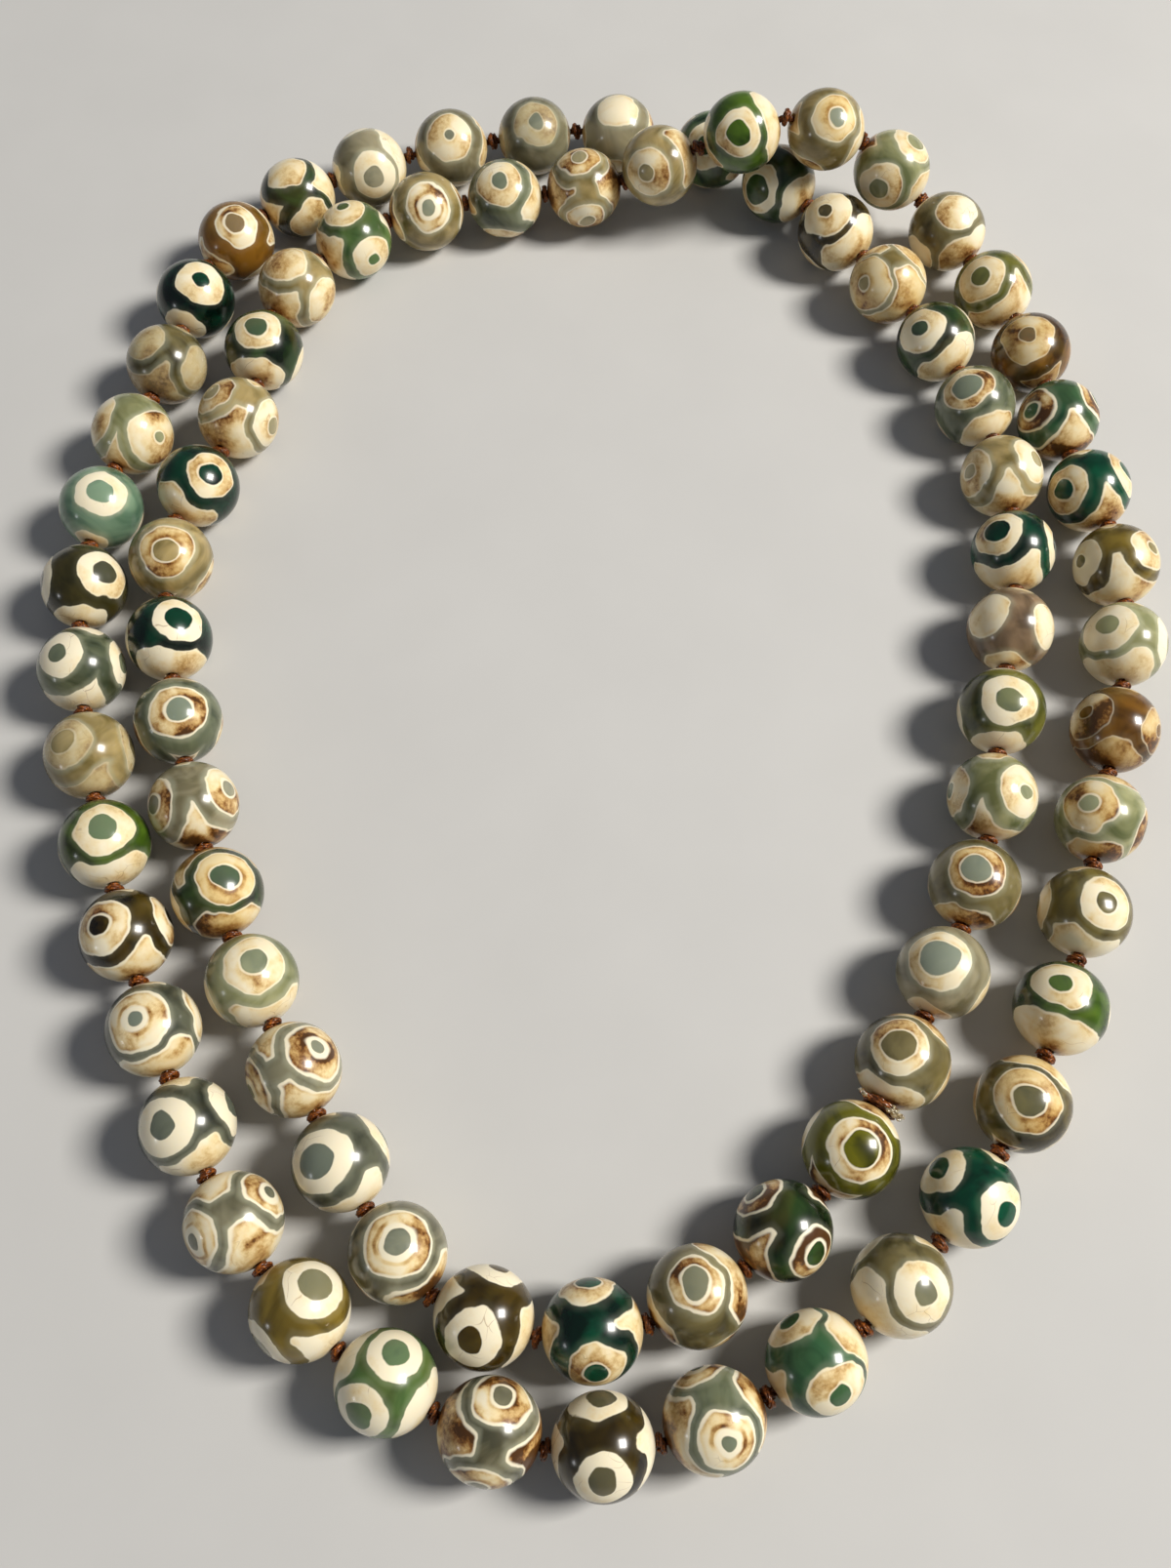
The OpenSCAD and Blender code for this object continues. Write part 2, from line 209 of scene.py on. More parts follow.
# The beads along the string from the closing knot. After the stone and the look, all are
# degrees round the bead: how far an eye is turned on the cord from facing up, how far on
# from it the next eye is, how far the eyes sit from the waist towards the next bead, and
# the radius of the eyes and of their pupils (0 for none). Then, for the cap at the bead
# before and for the one at the next bead, how near the waist it comes and how wide the
# bare band is that parts it from the eyes. The last is how milky the pupils are, in hundredths
BEADS = [
    ("moss", "tan", -8, -120, 6, 43, 21, 40, 12, 40, 21, 0),
    ("bottle", "brown", -50, 118, -3, 36, 14, 46, 26, 18, 22, 0),
    ("grey_olive", "tan", 12, -120, 0, 35, 18, 22, 9, 50, 26, 45),
    ("emerald", "cream", -52, 116, 0, 37, 15, 27, 22, 38, 25, 0),
    ("dark_olive", "ivory", -29, 104, 2, 37, 15, 42, 23, 30, 18, 0),
    ("grey", "ringed", 9, -120, 2, 43, 16, 35, 16, 50, 25, 40),
    ("slate", "ivory", -22, 120, 5, 42, 22, 35, 21, 52, 26, 45),
    ("grey", "ringed", 45, -120, -2, 41, 10, 18, 11, 10, 13, 40),
    ("pale_green", "cream", 18, 120, 3, 41, 17, 34, 20, 32, 21, 40),
    ("bottle", "golden", 23, -118, -4, 40, 17, 40, 11, 8, 14, 25),
    ("pale_grey", "tan", -50, 114, 0, 37, 13, 20, 20, 45, 26, 30),
    ("grey_green", "tan", 13, 120, -12, 41, 17, 58, 26, 45, 25, 60),
    ("deep_green", "ivory", 27, 120, 0, 36, 17, 34, 13, 40, 26, 0),
    ("pale_olive", "golden", 8, 120, -18, 40, 18, 62, 26, 52, 26, 0),
    ("deep_green", "cream", 35, 120, 2, 38, 17, 32, 16, 40, 26, 0),
    ("pale_olive", "cream", 82, -118, 0, 37, 14, 12, 12, 35, 25, 30),
    ("bottle", "cream", 0, 120, -4, 36, 17, 45, 12, 52, 26, 20),
    ("pale_olive", "cream", -14, 102, -2, 38, 0, 28, 15, 40, 20, 0),
    ("green", "cream", -18, 100, 0, 36, 10, 30, 17, 45, 24, 0),
    ("pale_olive", "ringed", 38, 120, 0, 38, 11, 50, 26, 50, 26, 70),
    ("grey_green", "cream", 16, 120, -10, 38, 14, 60, 26, 22, 21, 30),
    ("pale_olive", "golden", -8, 110, 0, 36, 13, 8, 14, 22, 14, 30),
    ("pale_olive", "cream", 50, 120, -5, 38, 13, 50, 26, 35, 25, 20),
    ("grass", "cream", 44, 120, -3, 36, 19, 40, 26, 30, 12, 0),
    ("pale_olive", "golden", 30, 120, -12, 37, 13, 60, 26, 30, 12, 80),
    ("pale_green", "cream", 80, -100, -8, 38, 16, 60, 26, 30, 15, 10),
    ("grey_olive", "cream", 0, 108, 5, 34, 0, 50, 26, 38, 10, 0),
    ("leaf", "cream", 38, -110, -3, 38, 15, 50, 26, 16, 16, 10),
    ("amber", "caramel", 22, 120, 4, 42, 12, 40, 22, 52, 26, 20),
    ("sea_green", "brown", 58, -115, -5, 38, 12, 40, 25, 22, 20, 10),
    ("emerald", "cream", 60, -112, 3, 38, 16, 40, 24, 18, 17, 0),
    ("gold_olive", "cream", 75, -112, 0, 36, 10, 40, 26, 11, 16, 20),
    ("pale_green", "ivory", 42, -114, 0, 40, 16, 45, 24, 30, 12, 10),
    ("amber", "caramel", 56, -112, 3, 36, 10, 45, 26, 32, 13, 0),
    ("pale_green", "golden", 31, -115, 6, 40, 12, 34, 10, 50, 10, 30),
    ("olive", "cream", -11, 112, 2, 38, 14, 40, 24, 38, 14, 10),
    ("grass", "cream", 20, 120, -14, 36, 14, 60, 26, 26, 10, 10),
    ("olive", "golden", 5, 120, 10, 43, 19, 30, 8, 60, 26, 20),
    ("emerald", "ivory", -43, 105, 0, 36, 17, 45, 26, 35, 21, 0),
    ("grey_olive", "ivory", -20, 120, -4, 38, 15, 48, 26, 22, 12, 35),
    ("sea_green", "cream", -44, 114, 3, 39, 14, 25, 8, 42, 24, 0),
    ("grey_green", "ringed", -25, 107, -2, 37, 9, 33, 13, 17, 10, 30),
    ("dark_olive", "ivory", -37, 100, 2, 35, 18, 37, 21, 46, 25, 20),
    ("grey", "brown", 45, -120, -5, 38, 13, 28, 16, 8, 12, 10),
    ("green", "ivory", -46, 84, 3, 36, 17, 42, 17, 38, 10, 25),
    ("gold_olive", "ivory", 38, -118, 0, 39, 21, 24, 20, 50, 26, 45),
    ("grey", "ringed", -50, 118, 0, 36, 9, 12, 12, 20, 12, 20),
    ("slate", "ivory", -21, 108, 0, 40, 18, 35, 14, 40, 20, 25),
    ("slate", "ringed", -8, 112, 2, 42, 9, 32, 9, 40, 20, 60),
    ("dark_olive", "tan", -19, 110, 3, 38, 14, 27, 18, 45, 25, 0),
    ("grass", "ivory", 14, 120, 0, 38, 19, 34, 12, 45, 26, 45),
    ("pale_olive", "faint", -18, 115, 0, 37, 17, 34, 24, 45, 26, 10),
    ("grey_green", "ivory", -14, 103, 0, 36, 15, 32, 26, 27, 17, 15),
    ("black_olive", "ivory", 46, -114, -3, 39, 17, 52, 14, 45, 25, 15),
    ("teal", "ivory", 17, 120, -6, 38, 18, 64, 26, 50, 26, 10),
    ("pale_green", "cream", 66, -120, -8, 45, 8, 30, 16, 50, 23, 20),
    ("grey_olive", "faint", -21, 100, -2, 35, 0, 26, 17, 40, 23, 20),
    ("deep_green", "ivory", 25, 120, -4, 38, 13, 58, 18, 45, 26, 0),
    ("amber", "tan", 18, 120, -5, 37, 15, 50, 26, 20, 22, 30),
    ("bottle", "cream", -8, 100, -8, 36, 0, 40, 22, 15, 13, 0),
    ("pale_grey", "ivory", 60, -120, -5, 37, 17, 60, 26, 24, 9, 20),
    ("pale_grey", "cream", 26, 120, -4, 40, 8, 45, 26, 40, 24, 40),
    ("grey", "faint", 25, 120, 0, 38, 12, 60, 26, 60, 26, 40),
    ("pale_grey", "cream", 2, 120, 0, 36, 0, 60, 26, 28, 25, 0),
    ("green", "cream", 40, 120, 0, 37, 15, 40, 26, 40, 26, 0),
    ("bottle", "cream", 68, 120, -3, 40, 24, 40, 24, 42, 10, 0),
    ("dark_olive", "cream", 24, -120, -11, 42, 11, 60, 26, 26, 10, 10),
    ("pale_olive", "golden", 60, -120, -3, 45, 9, 20, 6, 14, 6, 20),
    ("bottle", "cream", 40, 120, -4, 38, 13, 60, 26, 30, 14, 20),
    ("grey_green", "cream", 25, 120, -4, 38, 20, 60, 26, 48, 12, 50),
    ("pale_olive", "cream", 68, -110, 3, 38, 12, 45, 25, 20, 16, 30),
    ("emerald", "cream", 37, -108, -3, 37, 19, 50, 26, 24, 18, 0),
    ("mauve", "cream", 50, -102, 4, 35, 0, 42, 24, 58, 26, 0),
    ("leaf", "ivory", 3, 120, 10, 39, 18, 50, 26, 52, 8, 35),
    ("pale_green", "cream", -34, 116, 5, 38, 11, 32, 22, 27, 21, 30),
    ("grey_olive", "golden", 10, 120, 2, 40, 19, 50, 26, 50, 12, 70),
    ("pale_grey", "cream", 17, 120, 4, 43, 25, 60, 26, 60, 14, 80),
    ("grey_olive", "cream", 18, 120, -2, 39, 21, 38, 12, 38, 14, 0),
]


def linear(colour):
    """A screen colour from 0 to 255, as the linear colour that a shader takes."""
    shares = (c / 255 for c in colour)
    return tuple(c / 12.92 if c <= 0.04045 else ((c + 0.055) / 1.055) ** 2.4 for c in shares) + (1,)


class Nodes:
    """A material's node tree, with a short call for each kind of node that it uses."""

    def __init__(self, name):
        self.material = bpy.data.materials.new(name)
        self.material.use_nodes = True
        self.tree = self.material.node_tree
        self.shader = self.tree.nodes["Principled BSDF"]

    def add(self, kind, **settings):
        node = self.tree.nodes.new(kind)
        for key, value in settings.items():
            setattr(node, key, value)
        return node

    def plug(self, value, socket):
        if isinstance(value, bpy.types.NodeSocket):
            self.tree.links.new(value, socket)
        else:
            socket.default_value = value

    def attribute(self, name):
        return self.add("ShaderNodeAttribute", attribute_name=name)

    def vector_parts(self, name):
        """The three numbers of a vector that the mesh keeps for its material."""
        parts = self.add("ShaderNodeSeparateXYZ")
        self.plug(self.attribute(name).outputs["Vector"], parts.inputs[0])
        return parts.outputs

    def math(self, operation, *values):
        node = self.add("ShaderNodeMath", operation=operation)
        for value, socket in zip(values, node.inputs):
            self.plug(value, socket)
        return node.outputs[0]

    def plus(self, a, b):
        return self.math("ADD", a, b)

    def minus(self, a, b):
        return self.math("SUBTRACT", a, b)

    def times(self, a, b):
        return self.math("MULTIPLY", a, b)

    def vector(self, operation, *values, scale=None):
        node = self.add("ShaderNodeVectorMath", operation=operation)
        for value, socket in zip(values, node.inputs):
            self.plug(value, socket)
        if scale is not None:
            self.plug(scale, node.inputs["Scale"])
        return node.outputs["Value" if operation in ("LENGTH", "DOT_PRODUCT") else "Vector"]

    def noise(self, place, scale, detail=2.0, roughness=0.5, distortion=0.0):
        node = self.add("ShaderNodeTexNoise", noise_dimensions="3D")
        self.plug(place, node.inputs["Vector"])
        node.inputs["Scale"].default_value = scale
        node.inputs["Detail"].default_value = detail
        node.inputs["Roughness"].default_value = roughness
        node.inputs["Distortion"].default_value = distortion
        return node

    def seams(self, place, scale):
        """How far a place is from the nearest edge between irregular cells."""
        node = self.add("ShaderNodeTexVoronoi", feature="DISTANCE_TO_EDGE")
        self.plug(place, node.inputs["Vector"])
        node.inputs["Scale"].default_value = scale
        return node.outputs["Distance"]

    def rise(self, value, low, high):
        """0 where value is at low, 1 where it is at high, and smooth between them."""
        node = self.add("ShaderNodeMapRange", interpolation_type="SMOOTHSTEP")
        self.plug(value, node.inputs["Value"])
        self.plug(low, node.inputs["From Min"])
        self.plug(high, node.inputs["From Max"])
        return node.outputs["Result"]

    def blend(self, share, a, b, mode="MIX"):
        node = self.add("ShaderNodeMix", data_type="RGBA", blend_type=mode)
        self.plug(share, node.inputs["Factor"])
        for value, name in ((a, "A_Color"), (b, "B_Color")):
            socket = next(s for s in node.inputs if s.identifier == name)
            self.plug(value, socket)
        return next(s for s in node.outputs if s.identifier == "Result_Color")

    def ramp(self, value, *stops):
        node = self.add("ShaderNodeValToRGB")
        self.plug(value, node.inputs["Fac"])
        elements = node.color_ramp.elements
        while len(elements) < len(stops):
            elements.new(0.5)
        for element, (position, colour) in zip(elements, stops):
            element.position = position
            element.color = linear(colour)
        return node.outputs["Color"]

    def bump(self, height, distance):
        node = self.add("ShaderNodeBump")
        self.plug(height, node.inputs["Height"])
        node.inputs["Distance"].default_value = distance
        self.plug(node.outputs["Normal"], self.shader.inputs["Normal"])

    def finish(self, **values):
        """Sets or links the shader's own inputs, by name with _ for a space."""
        for name, value in values.items():
            self.plug(value, self.shader.inputs[name.replace("_", " ")])
        return self.material


# The three-eye pattern, in degrees of the bead: how softly the caps' corners and those
# between a ring and its pupil are rounded, how deep its outlines are nicked, and half the
# width over which an etched edge fades
CAP_CORNER = 6
PUPIL_CORNER = 2
NICKS = 2.6
EDGE_FADE = 0.9
# The vectors that a bead's mesh keeps for its material: the ways to its eyes
EYE_NAMES = ("eye_first", "eye_next", "eye_far")
# How much wider the eyes are round the bead than along it
EYE_WIDER = 1.1
# How far the hand-drawn outlines, the pupils and the cracks stray, in radii of the bead
OUTLINE_STRAY = 0.34
PUPIL_STRAY = 0.22
CRACK_STRAY = 0.8
# How stained all that is etched is before its look and its place are counted, and how much
# painted shade darkens it towards the bores, where the cord enters, from how far off the waist to
# where
STAIN = 0.34
PAINTED_BORE_SHADE = 0.22
BORE_SHADE_FROM = 50
BORE_SHADE_TO = 80


def angle_between(n, place, way):
    """The angle at the bead's middle from a place to a way, in degrees."""
    nearness = n.math("DIVIDE", n.vector("DOT_PRODUCT", place, way), n.vector("LENGTH", place))
    return n.math("DEGREES", n.math("ARCCOSINE", nearness))


def from_eyes(n, place):
    """How far a place is from the middle of the nearest of the bead's eyes, in degrees."""
    place = n.vector("MULTIPLY", place, (1, 1, EYE_WIDER))
    angles = [angle_between(n, place, n.attribute(eye).outputs["Vector"]) for eye in EYE_NAMES]
    return n.math("MINIMUM", n.math("MINIMUM", angles[0], angles[1]), angles[2])


def drift_of(n, grain):
    """How far a hand-drawn line strays, as a vector about nought that changes over the bead."""
    noise = n.noise(grain, 1.5, 1.5, 0.4, 0.3)
    return n.vector("SUBTRACT", noise.outputs["Color"], (0.5, 0.5, 0.5))


def stray(n, place, drift, reach):
    """The place, moved about by a drift."""
    return n.vector("ADD", place, n.vector("SCALE", drift, scale=reach))


def etched_field(n, place, grain, drift, pupil_drift):
    """How deep inside what is etched a place is, how far past a pupil and how far off the waist."""
    eye, pupil, _ = n.vector_parts("eye_sizes")
    drawn = stray(n, place, drift, OUTLINE_STRAY)
    outline = from_eyes(n, drawn)
    from_pupils = from_eyes(n, stray(n, place, pupil_drift, PUPIL_STRAY))
    past_pupil = n.minus(from_pupils, pupil)
    ring = n.math("SMOOTH_MIN", n.minus(eye, outline), past_pupil, PUPIL_CORNER)
    past_eye = n.minus(outline, eye)
    toward_low = n.minus(angle_between(n, drawn, (0, 0, 1)), 90)
    caps = []
    for name, toward in (("low_cap", toward_low), ("high_cap", n.times(toward_low, -1))):
        reach, band, _ = n.vector_parts(name)
        past_band = n.minus(past_eye, band)
        caps.append(n.math("SMOOTH_MIN", past_band, n.minus(toward, reach), CAP_CORNER))
    inside = n.math("MAXIMUM", ring, n.math("MAXIMUM", caps[0], caps[1]))
    nicks = n.minus(n.noise(grain, 5, 2).outputs["Fac"], 0.5)
    inside = n.plus(inside, n.times(nicks, NICKS))
    return inside, past_pupil, n.math("ABSOLUTE", toward_low)


def etched_colour(n, style, grain, offset, drift, inside, past_pupil, height):
    """The ivory of the etched parts, stained brown in patches and darker with painted shade towards
    the bores, with white lines round it.
    """
    line = style["line"]
    browner, _, _ = n.vector_parts("shades")
    smudge = n.noise(grain, 1.2, 2, 0.5, 0.4).outputs["Fac"]
    stain = n.times(n.minus(smudge, 0.5), style["patchy"])
    stain = n.plus(n.plus(stain, browner), STAIN + style["stain"])
    speckle = n.minus(n.noise(grain, 11, 2, 0.6).outputs["Fac"], 0.5)
    stain = n.plus(stain, n.times(speckle, n.math("MULTIPLY_ADD", stain, 0.9, 0.2)))
    at_edge = n.minus(1, n.rise(inside, line, line + 6))
    stain = n.plus(stain, n.times(at_edge, style["edge"]))
    # Painted shade: the etched parts turn darker brown towards both bores, where the cord enters
    bore_shade = n.rise(height, BORE_SHADE_FROM, BORE_SHADE_TO)
    stain = n.plus(stain, n.times(bore_shade, PAINTED_BORE_SHADE + style["edge"]))
    if style["ring"]:
        first = style["pupil_line"]
        ring_in = n.rise(past_pupil, first, first + 2)
        ring_out = n.rise(past_pupil, first + 4, first + 8)
        broken = n.rise(n.noise(offset, 2, 1).outputs["Fac"], 0.35, 0.6)
        ring = n.times(n.minus(ring_in, ring_out), broken)
        stain = n.plus(stain, n.times(ring, style["ring"]))
    colour = n.ramp(stain, *STAIN_STOPS)
    patch = n.rise(n.noise(offset, 1.0, 1).outputs["Fac"], 0.3, 0.6)
    colour = n.blend(n.times(patch, style["golden"]), colour, linear(GOLD), "MULTIPLY")

    seams = n.seams(stray(n, grain, drift, CRACK_STRAY), 1.6)
    cracks = n.minus(1, n.rise(seams, 0.0, 0.014))
    patchy = n.rise(n.noise(offset, 1.5, 1).outputs["Fac"], 0.62 - 0.2 * style["cracks"], 0.68)
    cracked = n.times(cracks, n.times(patchy, 0.5))
    colour = n.blend(cracked, colour, linear(BROWN))

    # The lines are wider here and narrower there, and fade inward
    swell = n.math("MULTIPLY_ADD", n.noise(offset, 2.5, 1).outputs["Fac"], 1.4, 0.3)
    outer = n.math("DIVIDE", inside, swell)
    inner = n.math("DIVIDE", past_pupil, swell)
    pupil_line = style["pupil_line"]
    outer_line = n.minus(1, n.rise(outer, line * 0.6, line * 1.3 + 0.6))
    inner_line = n.minus(1, n.rise(inner, pupil_line * 0.7, pupil_line * 1.2 + 0.6))
    lines = n.times(n.math("MAXIMUM", outer_line, inner_line), style["white"])
    return n.blend(lines, colour, linear(ETCHED_WHITE))


def stone_colour(n, stone, grain, offset, inside, past_pupil):
    """Clouded agate, olive here and there, milky beside the etched parts, lighter in the pupils."""
    deep, light, milk, olive = STONES[stone]
    _, lighter, pupil_milk = n.vector_parts("shades")
    clouds = n.plus(n.noise(grain, 0.85, 3, 0.5, 1.1).outputs["Fac"], lighter)
    clouds = n.plus(clouds, n.times(n.rise(past_pupil, 1, -3), 0.1))
    colour = n.ramp(clouds, (0.36, deep), (0.63, light))
    if olive:
        drift = n.rise(n.noise(offset, 0.8, 1, 0.5, 0.8).outputs["Fac"], 0.48, 0.64)
        colour = n.blend(n.times(drift, olive), colour, linear(OLIVE_CLOUD))
    beside = n.times(n.rise(inside, -9, 0), n.rise(past_pupil, -1, 1))
    beside = n.times(beside, milk)
    in_pupil = n.times(n.rise(past_pupil, 2, -2), pupil_milk)
    colour = n.blend(beside, colour, linear(MILKY))
    return n.blend(in_pupil, colour, linear(PUPIL_MILK))


def dzi_stone(stone, look):
    """Polished agate of one stone and look, with its etched eyes and caps."""
    style = LOOKS[look]
    n = Nodes(f"dzi_{stone}_{look}")
    place = n.attribute("pattern_place").outputs["Vector"]
    grain = n.attribute("grain_place").outputs["Vector"]
    offset = n.vector("ADD", grain, (3.7, 1.9, 5.3))
    drift, pupil_drift = drift_of(n, grain), drift_of(n, offset)
    inside, past_pupil, height = etched_field(n, place, grain, drift, pupil_drift)
    etched = n.times(n.rise(inside, -EDGE_FADE, EDGE_FADE), style["shows"])
    body = stone_colour(n, stone, grain, offset, inside, past_pupil)
    filled = etched_colour(n, style, grain, offset, drift, inside, past_pupil, height)

    wear = n.noise(grain, 4, 2).outputs["Fac"]
    roughness = n.math("MULTIPLY_ADD", wear, 0.12, 0.18)
    return n.finish(
        Base_Color=n.blend(etched, body, filled),
        Roughness=n.math("MULTIPLY_ADD", etched, 0.06, roughness),
        Subsurface_Weight=n.math("MULTIPLY_ADD", etched, -0.6, 0.85),
        Subsurface_Radius=(1.0, 0.9, 0.6),
        Subsurface_Scale=0.0035,
        Specular_IOR_Level=0.32,
        Coat_Weight=0.35,
        Coat_Roughness=0.11,
    )


def new_piece(name, points, faces, material):
    """A smooth mesh piece from arrays of points and of faces that have as many corners each."""
    count, corners = faces.shape
    mesh = bpy.data.meshes.new(name)
    mesh.vertices.add(len(points))
    mesh.vertices.foreach_set("co", np.asarray(points, np.float32).ravel())
    mesh.loops.add(count * corners)
    mesh.loops.foreach_set("vertex_index", np.asarray(faces, np.int32).ravel())
    mesh.polygons.add(count)
    mesh.polygons.foreach_set("loop_start", np.arange(count, dtype=np.int32) * corners)
    mesh.update(calc_edges=True)
    mesh.validate()
    mesh.shade_smooth()
    mesh.materials.append(material)
    piece = bpy.data.objects.new(name, mesh)
    bpy.context.scene.collection.objects.link(piece)
    return piece


def note(mesh, name, vectors):
    """Keeps a vector for each of the mesh's points, or one for all, for its material to read."""
    layer = mesh.attributes.new(name, "FLOAT_VECTOR", "POINT")
    spread = np.broadcast_to(np.asarray(vectors, np.float32), (len(mesh.vertices), 3))
    layer.data.foreach_set("vector", spread.ravel())


# A bead's outline from pole to pole and back through its bore
BEAD_R = BEAD_D / 2 * MM
BORE_R = BORE_D / 2 * MM
LIP = 0.2 * MM
BEAD_RINGS = 34
BEAD_SEGMENTS = 48
LIP_STEPS = 3
# How far the grinding leaves it out of round, in radii: flatter one way, wavy and rippled,
# and how much smaller it is made so that it stays within its solid
FLATTER = 0.012
WAVES = 0.002
RIPPLES = 0.0005
SHRUNK = 0.9965


def bead_outline():
    """Points (distance from the bore's axis, height along it) once round half a section."""
    start = math.asin((BORE_R + LIP) / BEAD_R)
    sphere = [
        (BEAD_R * math.sin(a), -BEAD_R * math.cos(a))
        for a in np.linspace(start, math.pi - start, BEAD_RINGS)
    ]
    top = sphere[-1][1]
    lip = [
        (BORE_R + LIP * (1 - math.sin(a)), top - LIP * (1 - math.cos(a)))
        for a in np.linspace(0, math.pi / 2, LIP_STEPS + 1)[1:]
    ]
    return np.array(sphere + lip + [(r, -z) for r, z in reversed(lip)])


OUTLINE = bead_outline()


def bead_map(rings, segments):
    """Flat map places for each face corner: once round the bead, and once along its outline."""
    steps = np.linalg.norm(OUTLINE - np.roll(OUTLINE, -1, axis=0), axis=1)
    v = np.concatenate([[0], np.cumsum(steps)]) / steps.sum()
    i, j = (a.ravel() for a in np.meshgrid(range(rings), range(segments), indexing="ij"))
    u = np.arange(segments + 1) / segments
    corners = [(u[j], v[i]), (u[j + 1], v[i]), (u[j + 1], v[i + 1]), (u[j], v[i + 1])]
    return np.stack([np.stack(c, axis=1) for c in corners], axis=1).reshape(-1, 2)


def ring_faces(rings, segments, closed=True):
    """Quads over rings of points, outward when the rings run along the turn's axis."""
    rows = rings if closed else rings - 1
    i, j = (a.ravel() for a in np.meshgrid(range(rows), range(segments), indexing="ij"))
    after, beside = (i + 1) % rings, (j + 1) % segments
    return np.stack(
        [i * segments + j, i * segments + beside, after * segments + beside, after * segments + j],
        axis=1,
    )


BEAD_FACES = ring_faces(len(OUTLINE), BEAD_SEGMENTS)
BEAD_MAP = bead_map(len(OUTLINE), BEAD_SEGMENTS)


def frame_along(way):
    """Right-handed axes with z along the way and x as near to straight up as that allows."""
    up = np.array([0.0, 0.0, 1.0])
    x = unit(up - way * (up @ way))
    return np.stack([x, np.cross(way, x), way], axis=1)


def eye_ways(turn, step, slip):
    """The ways from a bead's middle to its eyes: two as charted, the third between them."""
    lift = math.radians(slip)
    for degrees in (turn, turn + step, turn + step / 2 + 180):
        a = math.radians(degrees)
        yield math.cos(lift) * math.cos(a), math.cos(lift) * math.sin(a), math.sin(lift)


def add_bead(index, material, turn, step, slip, eye, pupil, low, low_band, high, high_band, milk):
    """One bead, ground slightly out of round, with its pattern turned and sized as charted."""
    chance = np.random.default_rng(index)
    around = np.arange(BEAD_SEGMENTS) / BEAD_SEGMENTS * 2 * math.pi
    r, z = OUTLINE[:, :1], OUTLINE[:, 1:]
    points = np.stack([r * np.cos(around), r * np.sin(around), z + 0 * around], axis=-1).reshape(-1, 3)
    place = points / BEAD_R
    squash = 1 - FLATTER * chance.random(3)
    lobes = chance.normal(size=(3, 3))
    waves = sum(np.sin(place @ lobe * 2 + k) for k, lobe in enumerate(lobes)) / 3
    ripples = sum(np.sin(place @ unit(lobe) * 13 + 2 * k) for k, lobe in enumerate(lobes)) / 3
    ground = points * squash * (SHRUNK + WAVES * waves + RIPPLES * ripples)[:, None]
    outside = np.linalg.norm(points[:, :2], axis=1) > BORE_R + LIP / 2
    points = np.where(outside[:, None], ground, points)
    world = points @ frame_along(BEAD_WAYS[index]).T + BEADS_AT[index]
    piece = new_piece(f"bead_{index + 1:02d}", world, BEAD_FACES, material)
    mesh = piece.data
    note(mesh, "pattern_place", place)
    note(mesh, "grain_place", place + chance.uniform(-40, 40, 3))
    for name, way in zip(EYE_NAMES, eye_ways(turn, step, slip)):
        note(mesh, name, way)
    # A bead with no pupils has them far smaller than nothing
    note(mesh, "eye_sizes", (eye, pupil or -20, 0))
    note(mesh, "low_cap", (low, low_band, 0))
    note(mesh, "high_cap", (high, high_band, 0))
    note(mesh, "shades", (chance.uniform(-0.1, 0.1), chance.uniform(-0.07, 0.07), milk / 100))
    mesh.uv_layers.new(name="OFBake").data.foreach_set("uv", BEAD_MAP.astype(np.float32).ravel())
    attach(piece, "root")
    first_turn = index < math.ceil(BEAD_COUNT / 2)
    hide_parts("beads_first_turn" if first_turn else "beads_second_turn")


def add_beads():
    materials = {}
    for index, (stone, look, *pattern) in enumerate(BEADS):
        if (stone, look) not in materials:
            materials[stone, look] = dzi_stone(stone, look)
        add_bead(index, materials[stone, look], *pattern)


add_beads()


TUBE_SIDES = 6
TUBE_END = 0.35
STRAND_COUNT = 3


def carried_axes(path, start):
    """Two axes across a path at each of its places, carried along it without a twist."""
    ways = np.gradient(path, axis=0)
    ways /= np.linalg.norm(ways, axis=1)[:, None]
    side = unit(np.cross(ways[0], start))
    sides = []
    for way in ways:
        side = unit(side - way * (side @ way))
        sides.append(side)
    return np.array(sides), np.cross(ways, sides)


def tube(path, radius):
    """Points and quads of a round tube along a path, tapered to a blunt point at both ends."""
    sides, ups = carried_axes(path, (0.3, 0.5, 0.81))
    radii = np.full(len(path), radius)
    radii[[0, -1]] *= TUBE_END
    turn = np.arange(TUBE_SIDES)[:, None] / TUBE_SIDES * 2 * math.pi
    across = np.cos(turn) * sides[:, None] + np.sin(turn) * ups[:, None]
    points = path[:, None] + radii[:, None, None] * across
    return points.reshape(-1, 3), ring_faces(len(path), TUBE_SIDES, closed=False)


def join(tubes):
    """Several tubes as one array of points and one of faces."""
    points, faces, count = [], [], 0
    for p, f in tubes:
        points.append(p)
        faces.append(f + count)
        count += len(p)
    return np.concatenate(points), np.concatenate(faces)


def strands(path, offset, radius, turns_per_metre, phase=0.0):
    """The twisted strands of a cord along a path, each as far off it as the offset."""
    sides, ups = carried_axes(path, (0.31, 0.52, 0.8))
    run = np.concatenate([[0], np.cumsum(np.linalg.norm(np.diff(path, axis=0), axis=1))])
    tubes = []
    for k in range(STRAND_COUNT):
        a = phase + 2 * math.pi * (k / STRAND_COUNT + run[:, None] * turns_per_metre)
        tubes.append(tube(path + offset * (np.cos(a) * sides + np.sin(a) * ups), radius))
    return tubes


